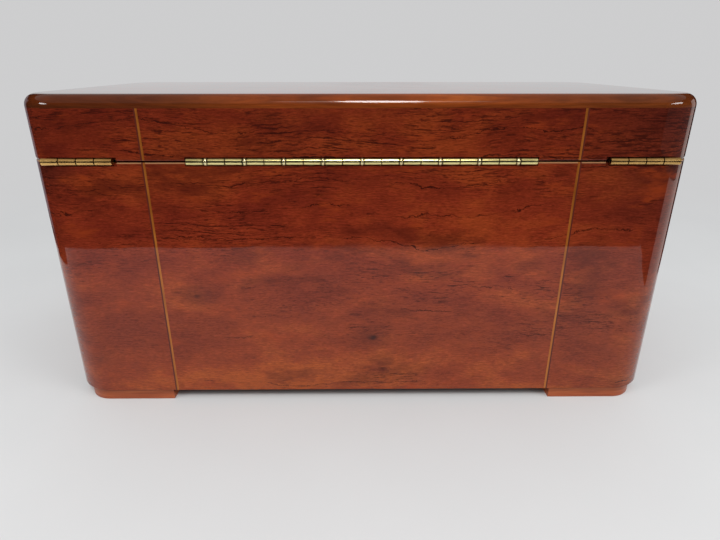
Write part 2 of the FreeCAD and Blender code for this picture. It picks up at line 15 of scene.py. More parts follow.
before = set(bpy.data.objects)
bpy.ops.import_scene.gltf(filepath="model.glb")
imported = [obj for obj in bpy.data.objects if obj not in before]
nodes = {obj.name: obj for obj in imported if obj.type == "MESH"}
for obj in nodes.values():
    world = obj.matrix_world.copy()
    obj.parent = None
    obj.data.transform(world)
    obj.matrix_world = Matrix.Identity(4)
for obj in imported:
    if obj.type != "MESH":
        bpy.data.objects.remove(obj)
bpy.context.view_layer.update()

MILLIMETRE = 0.001
BODY_PANELS = ["body_back_panel", "body_front_panel", "body_left_panel", "body_right_panel"]
LID_PANELS = ["lid_back_rail", "lid_front_rail", "lid_left_rail", "lid_right_rail", "lid_top_panel"]
EDGINGS = ["lid_edging_back", "lid_edging_front", "lid_edging_left", "lid_edging_right"]
FEET = ["foot_back_left", "foot_back_right", "foot_front_left", "foot_front_right"]
INLAYS = ["body_back_inlays", "body_front_inlays", "lid_back_inlays", "lid_front_inlays"]
LINERS = ["liner_back", "liner_front", "liner_left", "liner_right", "liner_floor", "lid_liner"]
CENTRE_LEAVES = ["centre_hinge_lower_leaf", "centre_hinge_upper_leaf"]
END_LEAVES = [f"{side}_hinge_{level}_leaf" for side in ("left", "right") for level in ("lower", "upper")]
PINS = ["centre_hinge_pin", "left_hinge_pin", "right_hinge_pin"]
SCREWS = ["body_hinge_screws", "lid_hinge_screws"]


# Measures read back from the frame

def edge_of(node, axis, end):
    """One coordinate of a node's box: axis 0 to 2, end 0 for the low side and 1 for the high side."""
    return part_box(node)[end][axis]


def middle_of(node, axis):
    return (edge_of(node, axis, 0) + edge_of(node, axis, 1)) / 2


BACK_FACE = edge_of("body_back_panel", 1, 1)
FRONT_FACE = edge_of("body_front_panel", 1, 0)
SIDE_FACE = edge_of("body_right_panel", 0, 1)
WOOD_MIDDLE = (BACK_FACE + FRONT_FACE) / 2
LID_TOP = edge_of("lid_top_panel", 2, 1)
CORNER_RADIUS = 0.025

# Measures that materials use, in millimetres
RIM_HEIGHT = edge_of("body_back_panel", 2, 1) / MILLIMETRE
EDGING_FOOT = edge_of("lid_edging_back", 2, 0) / MILLIMETRE
FOOT_TOP = edge_of("foot_back_left", 2, 1) / MILLIMETRE
INLAY_EDGE = edge_of("body_back_inlays", 0, 1) / MILLIMETRE
AXIS_BACK = middle_of("centre_hinge_pin", 1) / MILLIMETRE
AXIS_HEIGHT = middle_of("centre_hinge_pin", 2) / MILLIMETRE
HINGE_START = edge_of("centre_hinge_lower_leaf", 0, 0) / MILLIMETRE
HINGE_STOP = edge_of("centre_hinge_lower_leaf", 0, 1) / MILLIMETRE
CENTRE_KNUCKLES = 18
KNUCKLE_PITCH = (HINGE_STOP - HINGE_START) / CENTRE_KNUCKLES
RIM_SLACK = 0.05


class Graph:
    """A node material written as short calls. Each call returns the socket that it makes."""

    def __init__(self, name):
        self.material = bpy.data.materials.new(name)
        self.material.use_nodes = True
        self.tree = self.material.node_tree
        self.tree.nodes.clear()
        coordinates = self.add("ShaderNodeTexCoord")
        self.normal = coordinates.outputs["Normal"]
        self.place = self.scaled(coordinates.outputs["Object"], 1 / MILLIMETRE)

    def add(self, kind, **settings):
        node = self.tree.nodes.new(kind)
        for name, value in settings.items():
            setattr(node, name, value)
        return node

    def feed(self, socket, value):
        if isinstance(value, bpy.types.NodeSocket):
            self.tree.links.new(value, socket)
        else:
            socket.default_value = value

    def math(self, operation, *values):
        node = self.add("ShaderNodeMath", operation=operation)
        for socket, value in zip(node.inputs, values):
            self.feed(socket, value)
        return node.outputs[0]

    def plus(self, first, second):
        return self.math("ADD", first, second)

    def minus(self, first, second):
        return self.math("SUBTRACT", first, second)

    def times(self, first, second):
        return self.math("MULTIPLY", first, second)

    def absolute(self, value):
        return self.math("ABSOLUTE", value)

    def hypotenuse(self, first, second):
        squares = self.plus(self.times(first, first), self.times(second, second))
        return self.math("SQRT", squares)

    def weigh(self, first, share, second):
        """The mean of two values, the first with a share of 0 to 1 and the second with the rest."""
        return self.plus(self.times(first, share), self.times(second, 1.0 - share))

    def centred(self, value, amount):
        """A noise value moved to lie round zero, times an amount."""
        return self.times(self.minus(value, 0.5), amount)

    def ease(self, value, low, high, to_low=0.0, to_high=1.0):
        """A smooth step from to_low at low to to_high at high."""
        node = self.add("ShaderNodeMapRange", interpolation_type="SMOOTHSTEP")
        for name, number in (("Value", value), ("From Min", low), ("From Max", high),
                             ("To Min", to_low), ("To Max", to_high)):
            self.feed(node.inputs[name], number)
        return node.outputs[0]

    def masked(self, lines, field, low, high):
        """Lines kept only on one side of a soft limit in a field: none at low, all at high."""
        return self.times(lines, self.ease(field, low, high))

    def scaled(self, vector, factor):
        node = self.add("ShaderNodeVectorMath", operation="SCALE")
        self.feed(node.inputs[0], vector)
        self.feed(node.inputs["Scale"], factor)
        return node.outputs[0]

    def stretch(self, vector, across, along, up):
        node = self.add("ShaderNodeVectorMath", operation="MULTIPLY")
        self.feed(node.inputs[0], vector)
        self.feed(node.inputs[1], (across, along, up))
        return node.outputs[0]

    def vector(self, across, along, up):
        node = self.add("ShaderNodeCombineXYZ")
        for socket, value in zip(node.inputs, (across, along, up)):
            self.feed(socket, value)
        return node.outputs[0]

    def split(self, vector):
        node = self.add("ShaderNodeSeparateXYZ")
        self.feed(node.inputs[0], vector)
        return node.outputs[0], node.outputs[1], node.outputs[2]

    def noise(self, vector, detail=3.0, roughness=0.5, distortion=0.0):
        node = self.add("ShaderNodeTexNoise")
        for name, value in (("Vector", vector), ("Scale", 1.0), ("Detail", detail),
                            ("Roughness", roughness), ("Distortion", distortion)):
            self.feed(node.inputs[name], value)
        return node.outputs[0]

    def cells(self, vector):
        """Distance to the nearest of scattered points, and a random number of that point."""
        node = self.add("ShaderNodeTexVoronoi")
        self.feed(node.inputs["Vector"], vector)
        self.feed(node.inputs["Scale"], 1.0)
        return node.outputs["Distance"], self.split(node.outputs["Color"])[0]

    def mix(self, factor, first, second, mode="MIX"):
        node = self.add("ShaderNodeMix", data_type="RGBA", blend_type=mode)
        self.feed(node.inputs["Factor"], factor)
        for name, colour in (("A", first), ("B", second)):
            socket = next(i for i in node.inputs if i.name == name and i.type == "RGBA")
            self.feed(socket, colour)
        return next(o for o in node.outputs if o.type == "RGBA")

    def lay(self, colour, tint, where, strength):
        """A tint laid over the colour, as far as a field and a strength say."""
        return self.mix(self.times(where, strength), colour, tint)

    def shade(self, colour, grey):
        """The colour multiplied by a grey shade."""
        return self.mix(1.0, colour, self.vector(grey, grey, grey), "MULTIPLY")

    def ramp(self, factor, stops):
        """A colour ramp from (place, colour) stops."""
        node = self.add("ShaderNodeValToRGB")
        elements = node.color_ramp.elements
        while len(elements) < len(stops):
            elements.new(0.5)
        for element, (position, colour) in zip(elements, stops):
            element.position = position
            element.color = colour
        self.feed(node.inputs[0], factor)
        return node.outputs[0]

    def bump(self, height, strength, distance):
        node = self.add("ShaderNodeBump")
        for name, value in (("Height", height), ("Strength", strength), ("Distance", distance)):
            self.feed(node.inputs[name], value)
        return node.outputs[0]

    def glow(self, colour, strength):
        node = self.add("ShaderNodeEmission")
        self.feed(node.inputs["Color"], colour)
        self.feed(node.inputs["Strength"], strength)
        return node.outputs[0]

    def close(self, shader):
        """The finished material, with a shader at its output."""
        output = self.add("ShaderNodeOutputMaterial")
        self.feed(output.inputs["Surface"], shader)
        return self.material

    def finish(self, **inputs):
        """The material of one surface, by the names of its sockets with spaces as underscores."""
        shader = self.add("ShaderNodeBsdfPrincipled")
        for name, value in inputs.items():
            self.feed(shader.inputs[name.replace("_", " ")], value)
        return self.close(shader.outputs[0])


def rgb(red, green, blue):
    return (red, green, blue, 1.0)


def outline_inset(graph):
    """Millimetres inside the rounded outline of the box, seen from above."""
    across, along, up = graph.split(graph.place)
    centre_x = (SIDE_FACE - CORNER_RADIUS) / MILLIMETRE
    centre_y = (BACK_FACE - WOOD_MIDDLE - CORNER_RADIUS) / MILLIMETRE
    over_x = graph.minus(graph.absolute(across), centre_x)
    over_y = graph.minus(graph.absolute(graph.minus(along, WOOD_MIDDLE / MILLIMETRE)), centre_y)
    round_corner = graph.hypotenuse(graph.math("MAXIMUM", over_x, 0.0), graph.math("MAXIMUM", over_y, 0.0))
    inside = graph.math("MINIMUM", graph.math("MAXIMUM", over_x, over_y), 0.0)
    return graph.minus(CORNER_RADIUS / MILLIMETRE, graph.plus(round_corner, inside))


# Wood

COAT_IOR = 1.38
LEVEL_FACE = 0.7
DEEP_RED = rgb(0.118, 0.0140, 0.0066)
MIDDLE_RED = rgb(0.164, 0.0212, 0.0080)
LIGHT_RED = rgb(0.222, 0.0350, 0.0096)
# Painted reflection: a browner haze for the veneer low down.
PAINTED_HAZE_CAST = rgb(0.98, 1.28, 1.05)
DARK_END = rgb(0.050, 0.0110, 0.0070)
DARK_UNDER_SEAM = rgb(0.036, 0.0080, 0.0060)
EMBER = rgb(0.275, 0.040, 0.0092)
CLOUD = rgb(0.060, 0.0078, 0.0044)
LONG_VEIN = rgb(0.020, 0.004, 0.0026)
SHORT_VEIN = rgb(0.024, 0.0045, 0.003)
STROKE = rgb(0.030, 0.0050, 0.0032)
PORE = rgb(0.046, 0.0064, 0.0040)
KNOT_SHADOW = rgb(0.044, 0.0080, 0.0060)
KNOT_HEART = rgb(0.016, 0.0060, 0.0055)
# Painted highlight and worn wood on the rim's outer arris.
RIM_HIGHLIGHT_AND_WORN_WOOD = rgb(0.37, 0.190, 0.085)


def grain_place(graph):
    """Coordinates whose third part runs across the grain: up on upright faces, back on level ones."""
    across, along, up = graph.split(graph.place)
    facing = graph.split(graph.normal)[2]
    level = graph.math("GREATER_THAN", graph.absolute(facing), LEVEL_FACE)
    upright = graph.minus(1.0, level)
    cross = graph.plus(graph.times(up, upright), graph.times(along, level))
    depth = graph.plus(graph.times(along, upright), graph.times(up, level))
    return across, depth, cross


def under_lacquer(graph, colour, coat_roughness, **normals):
    """A matt ground under a clear gloss coat."""
    return graph.finish(Base_Color=colour, Roughness=0.5, Specular_IOR_Level=0.0, Coat_Weight=1.0,
                        Coat_IOR=COAT_IOR, Coat_Roughness=coat_roughness, **normals)


class Veneer(Graph):
    """Figured veneer, laid on in layers. Its places, its height and some noises serve several layers."""

    def __init__(self):
        super().__init__("lacquered_veneer")
        self.across, self.depth, cross = grain_place(self)
        self.height = self.split(self.place)[2]
        self.plain = self.vector(self.across, self.depth, cross)
        sway = self.noise(self.stretch(self.plain, 0.010, 0.010, 0.022), detail=2.0)
        ripple = self.noise(self.stretch(self.plain, 0.05, 0.05, 0.10), detail=2.0)
        self.bent = self.plus(cross, self.plus(self.centred(sway, 12.0), self.centred(ripple, 2.0)))
        self.grain = self.vector(self.across, self.depth, self.bent)
        self.mottle = self.along_grain(0.042, 0.085, 4.0, 0.55)
        rise = self.ease(self.height, 60.0, 165.0, -0.035, 0.050)
        far_end = self.ease(self.across, -165.0, -40.0, 0.090, 0.0)
        self.upper = self.plus(rise, self.masked(far_end, self.height, 130.0, 155.0))
        self.dense = self.plus(self.along_grain(0.019, 0.060, 5.0, 0.66), self.upper)

    def along_grain(self, along, across, detail, roughness=0.5):
        """A noise drawn out along the grain, by its fineness along and across it."""
        return self.noise(self.stretch(self.grain, along, along, across), detail, roughness)

    def ground(self):
        """Soft patches of the wood's main reds."""
        tone = self.weigh(self.along_grain(0.0085, 0.022, 2.0), 0.55, self.mottle)
        return self.ramp(tone, [(0.38, DEEP_RED), (0.50, MIDDLE_RED), (0.61, LIGHT_RED)])

    def painted_light_and_dark_ends(self, colour):
        """Painted light and shade: lighter low down, where more light bounces up from the table, and darker
        towards the lid. Browner low down, a painted haze of reflected table. Also darker at one end and just
        under the seam at both ends.
        """
        # Painted light and shade by height: lighter low down, darker towards the lid.
        colour = self.shade(colour, self.ease(self.height, 95.0, 172.0, 1.20, 0.86))
        colour = self.shade(colour, self.ease(self.height, 50.0, 118.0, 1.20, 1.0))
        # Painted reflection: a browner haze low down.
        hazed = self.mix(1.0, colour, PAINTED_HAZE_CAST, "MULTIPLY")
        colour = self.mix(self.ease(self.height, 40.0, 125.0, 1.0, 0.0), colour, hazed)
        far_end = self.ease(self.across, -172.0, -80.0, 0.54, 0.0)
        colour = self.lay(colour, DARK_END, far_end, self.ease(self.height, 85.0, 150.0, 0.35, 1.0))
        # Darker just under the seam at both ends.
        both_ends = self.ease(self.absolute(self.across), 136.0, 168.0)
        under_seam = self.masked(both_ends, self.height, RIM_HEIGHT - 19.1, RIM_HEIGHT - 4.1)
        under_seam = self.masked(under_seam, self.height, RIM_HEIGHT + 2.9, RIM_HEIGHT - 1.1)
        return self.lay(colour, DARK_UNDER_SEAM, under_seam, 0.62)

    def fibred(self, colour):
        """Fine light and dark fibres and flecks."""
        fibre = self.along_grain(0.11, 1.5, 3.0, 0.60)
        colour = self.shade(colour, self.ease(fibre, 0.28, 0.72, 0.80, 1.18))
        fleck = self.along_grain(0.42, 3.0, 2.0, 0.6)
        return self.shade(colour, self.ease(fleck, 0.28, 0.72, 0.74, 1.22))

    def clouded(self, colour):
        """Glowing patches, and dark clouds that grow stronger higher up."""
        ember = self.along_grain(0.030, 0.075, 3.0, 0.6)
        colour = self.mix(self.ease(ember, 0.58, 0.74, 0.0, 0.56), colour, EMBER)
        cloud = self.ease(self.along_grain(0.017, 0.048, 6.0, 0.66), 0.52, 0.70)
        return self.lay(colour, CLOUD, cloud, self.ease(self.height, 30.0, 150.0, 0.50, 0.70))

    def veins(self, start, spacing, wander, width):
        """Thin dark lines that run with the grain, wander across it and change in width."""
        cross = self.plus(self.bent, start)
        place = self.vector(self.across, self.depth, cross)
        slow = self.noise(self.stretch(place, 0.012, 0.012, 0.020), detail=2.0)
        quick = self.noise(self.stretch(place, 0.13, 0.13, 0.18), detail=4.0, roughness=0.66)
        drift = self.plus(self.centred(slow, wander), self.centred(quick, 0.30 * wander))
        gap = self.math("PINGPONG", self.plus(cross, drift), spacing)
        swell = self.noise(self.stretch(place, 0.06, 0.06, 0.5), detail=3.0, roughness=0.7)
        edge = self.ease(swell, 0.40, 0.72, 0.35 * width, 1.6 * width)
        return self.ease(self.math("DIVIDE", gap, edge), 0.35, 1.0, 1.0, 0.0)

    def veined(self, colour):
        """Long veins here and there, and close short ones where the figure is dense."""
        figured = self.plus(self.along_grain(0.010, 0.032, 4.0, 0.62), self.upper)
        long_veins = self.masked(self.veins(0.0, 7.5, 22.0, 0.44), figured, 0.50, 0.57)
        colour = self.lay(colour, LONG_VEIN, long_veins, 0.88)
        short_veins = self.masked(self.veins(31.0, 2.1, 9.0, 0.36), self.dense, 0.56, 0.63)
        return self.lay(colour, SHORT_VEIN, short_veins, 0.82)

    def stroked(self, colour):
        """Short dark strokes along the grain, most where the figure is dense."""
        strokes = self.plus(self.along_grain(0.100, 0.84, 5.0, 0.68), self.times(self.upper, 0.4))
        share = self.ease(self.dense, 0.47, 0.61, 0.12, 0.78)
        return self.lay(colour, STROKE, self.ease(strokes, 0.545, 0.63), share)

    def pored(self, colour):
        """Open pores, most where the figure is dense."""
        pores = self.ease(self.along_grain(0.26, 2.2, 2.0, 0.6), 0.56, 0.68)
        return self.lay(colour, PORE, pores, self.ease(self.dense, 0.44, 0.62, 0.18, 0.80))

    def knotted(self, colour):
        """Scattered small knots, each a dark heart in a soft shadow."""
        distance, number = self.cells(self.stretch(self.grain, 0.019, 0.019, 0.034))
        chosen = self.ease(number, 0.66, 0.80)
        ragged = self.plus(distance, self.centred(self.mottle, 0.14))
        shadow = self.times(self.ease(ragged, 0.04, 0.34, 1.0, 0.0), chosen)
        heart = self.times(self.ease(ragged, 0.015, 0.075, 1.0, 0.0), chosen)
        colour = self.lay(colour, KNOT_SHADOW, shadow, 0.42)
        return self.lay(colour, KNOT_HEART, heart, 0.85)

    def rim_highlight_and_wear(self, colour):
        """A thin light line on the outer arris of the body's rim: a painted highlight where the arris catches
        light from above, and partly worn wood where the lacquer has rubbed off.
        """
        # Painted highlight and wear: a thin light line on the rim's outer arris.
        below_rim = self.math("LESS_THAN", self.height, RIM_HEIGHT + RIM_SLACK)
        line = self.times(self.ease(self.height, RIM_HEIGHT - 0.75, RIM_HEIGHT - 0.40), below_rim)
        line = self.masked(line, outline_inset(self), 1.3, 0.7)
        return self.lay(colour, RIM_HIGHLIGHT_AND_WORN_WOOD, line, 0.75)

    def coat_waves(self):
        waviness = self.noise(self.scaled(self.plain, 0.03), detail=2.0)
        orange_peel = self.noise(self.scaled(self.plain, 0.35), detail=1.0)
        return self.bump(self.plus(waviness, self.times(orange_peel, 0.03)), 0.10, 0.001)

    def coat_roughness(self):
        """Rougher where the coat is rubbed, and in the middle of the box."""
        rub = self.noise(self.scaled(self.plain, 0.02), detail=5.0, roughness=0.7)
        from_middle = self.absolute(self.plus(self.across, 14.0))
        return self.plus(self.ease(rub, 0.4, 0.75, 0.015, 0.05),
                         self.ease(from_middle, 10.0, 85.0, 0.055, 0.0))


def lacquered_veneer():
    wood = Veneer()
    colour = wood.ground()
    for layer in (wood.painted_light_and_dark_ends, wood.fibred, wood.clouded, wood.veined, wood.stroked, wood.pored,
                  wood.knotted, wood.rim_highlight_and_wear):
        colour = layer(colour)
    waves = wood.coat_waves()
    return under_lacquer(wood, colour, wood.coat_roughness(), Normal=waves, Coat_Normal=waves)


def lacquered_edging():
    """Striped wood whose grain follows the edge, stained dark towards both ends and along its foot."""
    graph = Graph("lacquered_edging")
    across, along, up = graph.split(graph.place)
    cross = graph.minus(up, outline_inset(graph))
    sway = graph.noise(graph.stretch(graph.vector(across, along, cross), 0.008, 0.008, 0.02), detail=2.0)
    grain = graph.vector(across, along, graph.plus(cross, graph.centred(sway, 9.0)))
    tone = graph.noise(graph.stretch(grain, 0.006, 0.006, 0.07), detail=2.0)
    stripes = graph.noise(graph.stretch(grain, 0.008, 0.008, 0.45), detail=4.0, roughness=0.6)
    colour = graph.ramp(graph.weigh(tone, 0.45, stripes), [
        (0.36, rgb(0.110, 0.020, 0.004)), (0.47, rgb(0.225, 0.044, 0.007)), (0.58, rgb(0.345, 0.080, 0.012))])
    patches = graph.noise(graph.stretch(grain, 0.010, 0.010, 0.030), detail=2.0)
    streak = graph.ease(graph.plus(cross, graph.centred(stripes, 7.0)), EDGING_FOOT - 0.8, EDGING_FOOT + 3.2)
    stained = graph.mix(streak, rgb(0.030, 0.009, 0.002), rgb(0.062, 0.011, 0.003))
    near_end = graph.ease(graph.plus(across, graph.centred(patches, 70.0)), 20.0, 120.0, 0.0, 0.92)
    colour = graph.mix(near_end, colour, stained)
    far_end = graph.ease(graph.plus(across, graph.centred(patches, 60.0)), -150.0, -30.0, 0.74, 0.0)
    colour = graph.mix(far_end, colour, rgb(0.066, 0.016, 0.0045))
    foot = graph.ease(up, EDGING_FOOT - 0.1, EDGING_FOOT + 2.7, 0.52, 0.0)
    colour = graph.mix(foot, colour, rgb(0.080, 0.018, 0.0065))
    fibre = graph.noise(graph.stretch(grain, 0.07, 0.07, 1.7), detail=3.0, roughness=0.6)
    colour = graph.shade(colour, graph.ease(fibre, 0.3, 0.7, 0.80, 1.16))
    waves = graph.bump(graph.noise(graph.scaled(graph.place, 0.022), detail=1.0), 0.10, 0.001)
    return under_lacquer(graph, colour, 0.075, Normal=waves, Coat_Normal=waves)


def string_inlay():
    """A light string with a thin dark ply along its outer side, with painted shade that makes it darker
    higher up, above the reflected table.
    """
    graph = Graph("string_inlay")
    across, along, up = graph.split(graph.place)
    dark_ply = graph.ease(graph.absolute(across), INLAY_EDGE - 0.95, INLAY_EDGE - 0.80)
    fibre = graph.noise(graph.stretch(graph.place, 1.5, 1.5, 0.05))
    mottle = graph.noise(graph.scaled(graph.place, 0.08))
    light = graph.ramp(graph.weigh(fibre, 0.5, mottle), [
        (0.35, rgb(0.26, 0.075, 0.012)), (0.50, rgb(0.34, 0.105, 0.017)), (0.66, rgb(0.42, 0.140, 0.025))])
    # Painted shade: darker higher up, above the reflected table.
    light = graph.shade(light, graph.ease(up, 75.0, 125.0, 0.95, 0.68))
    return under_lacquer(graph, graph.mix(dark_ply, light, rgb(0.088, 0.018, 0.011)), 0.025)


def foot_wood():
    """Bare orange wood, with painted shade that darkens it towards the foot's top under the wall, and a
    painted shadow line under the wall.
    """
    graph = Graph("foot_wood")
    fibre = graph.noise(graph.stretch(graph.place, 0.03, 0.03, 0.9), detail=4.0, roughness=0.6)
    blotch = graph.noise(graph.stretch(graph.place, 0.04, 0.04, 0.15))
    colour = graph.ramp(graph.weigh(fibre, 0.6, blotch), [
        (0.34, rgb(0.21, 0.042, 0.013)), (0.50, rgb(0.31, 0.068, 0.020)), (0.66, rgb(0.40, 0.102, 0.030))])
    height = graph.split(graph.place)[2]
    # Painted shade towards the foot's top, then a painted shadow line under the wall.
    colour = graph.shade(colour, graph.ease(height, 0.3 * FOOT_TOP, 0.8 * FOOT_TOP, 1.06, 0.72))
    colour = graph.shade(colour, graph.ease(height, FOOT_TOP - 0.8, FOOT_TOP - 0.2, 1.0, 0.35))
    return graph.finish(Base_Color=colour, Roughness=graph.ease(blotch, 0.3, 0.7, 0.35, 0.50),
                        Specular_IOR_Level=0.2, Coat_Weight=0.3, Coat_Roughness=0.2,
                        Normal=graph.bump(fibre, 0.15, 0.0003))


def base_board():
    graph = Graph("base_board")
    fibre = graph.noise(graph.stretch(graph.place, 0.02, 0.4, 0.8), detail=4.0, roughness=0.6)
    colour = graph.ramp(fibre, [(0.34, rgb(0.28, 0.18, 0.10)), (0.66, rgb(0.52, 0.38, 0.22))])
    return graph.finish(Base_Color=colour, Roughness=0.75, Normal=graph.bump(fibre, 0.2, 0.0003))


# Cloth

def nap(graph, dark, light, fleck_fineness):
    """Short-piled cloth: brushed patches, a fine fleck and a matt sheen."""
    brushed = graph.noise(graph.scaled(graph.place, 0.02), distortion=0.6)
    fleck = graph.noise(graph.scaled(graph.place, fleck_fineness), roughness=0.7)
    colour = graph.ramp(graph.weigh(brushed, 0.55, fleck), [(0.32, dark), (0.68, light)])
    return graph.finish(Base_Color=colour, Roughness=0.92, Specular_IOR_Level=0.2, Sheen_Weight=0.35,
                        Sheen_Roughness=0.5, Normal=graph.bump(fleck, 0.5, 0.0004))


def suede():
    return nap(Graph("suede"), rgb(0.26, 0.175, 0.10), rgb(0.50, 0.37, 0.24), 1.6)


def base_felt():
    return nap(Graph("base_felt"), rgb(0.010, 0.018, 0.012), rgb(0.035, 0.052, 0.036), 1.2)


def bumper_felt():
    return nap(Graph("bumper_felt"), rgb(0.10, 0.045, 0.025), rgb(0.24, 0.12, 0.07), 2.0)


# Metal

BRASS_PIT = rgb(0.16, 0.10, 0.04)
# Painted shade for the joints beside the collars.
JOINT_SHADE = rgb(0.10, 0.07, 0.025)
# Painted shade for the rod inside the joints.
SHADED_ROD = rgb(0.045, 0.028, 0.014)


def brass_surface(graph, colour, tarnish, wear):
    """Brass with dull patches and small dark spots."""
    dull = graph.noise(graph.stretch(graph.place, 0.07, 0.22, 0.22), detail=3.0, roughness=0.6)
    pits = graph.noise(graph.scaled(graph.place, 1.1), detail=2.0, roughness=0.6)
    surface = graph.mix(graph.ease(dull, 0.42, 0.72, 0.0, wear), colour, tarnish)
    return graph.mix(graph.ease(pits, 0.68, 0.80, 0.0, 0.35), surface, BRASS_PIT)


def drawn_metal(graph, surface, roughness):
    """The finish of drawn metal, with fine marks along the hinge."""
    marks = graph.noise(graph.stretch(graph.place, 0.08, 1.6, 1.6), detail=2.0)
    rough = graph.plus(roughness, graph.times(graph.ease(marks, 0.3, 0.75), 0.08))
    return graph.finish(Base_Color=surface, Metallic=1.0, Roughness=rough,
                        Normal=graph.bump(marks, 0.015, 0.0001))


def from_hinge_axis(graph):
    """Millimetres from the line that the hinges turn on."""
    across, along, up = graph.split(graph.place)
    return graph.hypotenuse(graph.minus(along, AXIS_BACK), graph.minus(up, AXIS_HEIGHT))


def shade_beside_collar(graph):
    """How much painted shade darkens the knuckles' ends beside the centre hinge's collars."""
    across = graph.split(graph.place)[0]
    first_collar = HINGE_START + KNUCKLE_PITCH
    from_collar = graph.math("PINGPONG", graph.minus(across, first_collar), KNUCKLE_PITCH)
    return graph.masked(graph.ease(from_collar, 1.2, 1.9, 1.0, 0.0), from_hinge_axis(graph), 2.4, 2.1)


def bright_brass():
    """The centre hinge's brass, with painted shade in the wide joints."""
    graph = Graph("bright_brass")
    surface = brass_surface(graph, rgb(0.90, 0.78, 0.35), rgb(0.70, 0.58, 0.23), 0.6)
    # Painted shade in the wide joints beside the collars.
    return drawn_metal(graph, graph.lay(surface, JOINT_SHADE, shade_beside_collar(graph), 0.72), 0.20)


def aged_brass():
    """The end hinges' brass, with painted shade that darkens it towards one end of the box."""
    graph = Graph("aged_brass")
    surface = brass_surface(graph, rgb(0.82, 0.50, 0.17), rgb(0.62, 0.34, 0.11), 0.85)
    across = graph.split(graph.place)[0]
    # Painted shade that darkens the brass towards one end of the box.
    return drawn_metal(graph, graph.shade(surface, graph.ease(across, -130.0, 130.0, 0.76, 1.0)), 0.26)


def screw_brass():
    graph = Graph("screw_brass")
    return drawn_metal(graph, brass_surface(graph, rgb(0.80, 0.64, 0.30), rgb(0.42, 0.28, 0.11), 0.7), 0.24)


def pin_brass():
    """Bright collars on a rod painted dark as shade inside the joints."""
    graph = Graph("pin_brass")
    # Painted shade: the rod inside the collars is dark.
    collar = graph.ease(from_hinge_axis(graph), 1.55, 2.05)
    bright = brass_surface(graph, rgb(0.95, 0.84, 0.46), rgb(0.72, 0.56, 0.26), 0.6)
    return drawn_metal(graph, graph.mix(collar, SHADED_ROD, bright), 0.22)


SHARP_ANGLE = math.radians(32)


def dress(names, material):
    """A material for some nodes, with smooth shading over round faces and sharp arrises."""
    for name in names:
        mesh = nodes[name].data
        mesh.materials.clear()
        mesh.materials.append(material)
        mesh.shade_smooth()
        mesh.set_sharp_from_angle(angle=SHARP_ANGLE)


dress(BODY_PANELS + LID_PANELS, lacquered_veneer())
dress(EDGINGS, lacquered_edging())
dress(INLAYS, string_inlay())
dress(FEET, foot_wood())
dress(["base_panel"], base_board())
dress(LINERS, suede())
dress(["base_felt"], base_felt())
dress(["rim_bumpers"], bumper_felt())
dress(CENTRE_LEAVES, bright_brass())
dress(END_LEAVES, aged_brass())
dress(PINS, pin_brass())
dress(SCREWS, screw_brass())


# Surroundings

FLOOR_REACH = 60.0
FADE_START = 260.0
FADE_STOP = 900.0
FLOOR_COLOUR = rgb(0.715, 0.727, 0.729)
GROUND_COLOUR = rgb(0.22, 0.22, 0.22)
DARK = rgb(0.012, 0.012, 0.013)
BACKDROP = rgb(0.99, 0.99, 1.0)
BACKDROP_STRENGTH = 0.62
TABLE_DROP = 0.0004
TABLE_BACK_EDGE = BACK_FACE + 0.290
TABLE_FRONT_EDGE = -1.1
TABLE_LEFT_EDGE = -0.356
TABLE_RIGHT_EDGE = 0.44
TABLE_SHOULDER = BACK_FACE + 0.020
TABLE_ARC_CENTRE = (0.154, BACK_FACE - 0.0225)
TABLE_ARC_RADIUS = 0.352
TABLE_ARC_START = math.asin((TABLE_BACK_EDGE - TABLE_ARC_CENTRE[1]) / TABLE_ARC_RADIUS)
TABLE_ARC_STOP = math.radians(10.5)
TABLE_ARC_STEPS = 12
ROOM_RADIUS = 1.7
ROOM_TURNS = 36
ROOM_STEPS = 15
ROOM_LOW = math.radians(-60)
ROOM_HIGH = math.radians(90)
OPENING_HALF_TURN = math.radians(38)
OPENING_HIGH = math.radians(30)
CEILING_START = math.radians(22)
CEILING_STRENGTH = 0.34
SHEET_LINE = -0.49
SHEETS_MEET = 0.01
CARD_TOP = 0.078
PANE_TOP = 0.28


def plain_material(name, colour):
    graph = Graph(name)
    mottle = graph.noise(graph.scaled(graph.place, 0.004))
    return graph.finish(Base_Color=graph.shade(colour, graph.ease(mottle, 0.3, 0.7, 0.985, 1.0)),
                        Roughness=0.9, Specular_IOR_Level=0.0)


def glowing_material(name, colour, strength):
    graph = Graph(name)
    return graph.close(graph.glow(colour, strength))


def floor_material():
    """Pale paper that fades into the backdrop with distance, with a painted shadow right under the box."""
    graph = Graph("pale_floor")
    across, along, up = graph.split(graph.place)
    far = graph.ease(graph.hypotenuse(across, along), FADE_START, FADE_STOP)
    mottle = graph.noise(graph.scaled(graph.place, 0.01), detail=4.0)
    tint = graph.shade(FLOOR_COLOUR, graph.ease(mottle, 0.3, 0.7, 0.985, 1.005))
    # Painted shadow right under the box.
    tint = graph.shade(tint, graph.ease(outline_inset(graph), 1.0, 14.0, 1.0, 0.20))
    paper = graph.add("ShaderNodeBsdfDiffuse")
    graph.feed(paper.inputs["Color"], tint)
    blend = graph.add("ShaderNodeMixShader")
    for socket, value in zip(blend.inputs, (far, paper.outputs[0], graph.glow(BACKDROP, BACKDROP_STRENGTH))):
        graph.feed(socket, value)
    return graph.close(blend.outputs[0])


def stage_mesh(name, corners, faces, material):
    mesh = bpy.data.meshes.new(name)
    mesh.from_pydata(corners, [], faces)
    mesh.materials.append(material)
    thing = bpy.data.objects.new(name, mesh)
    bpy.context.scene.collection.objects.link(thing)
    return thing


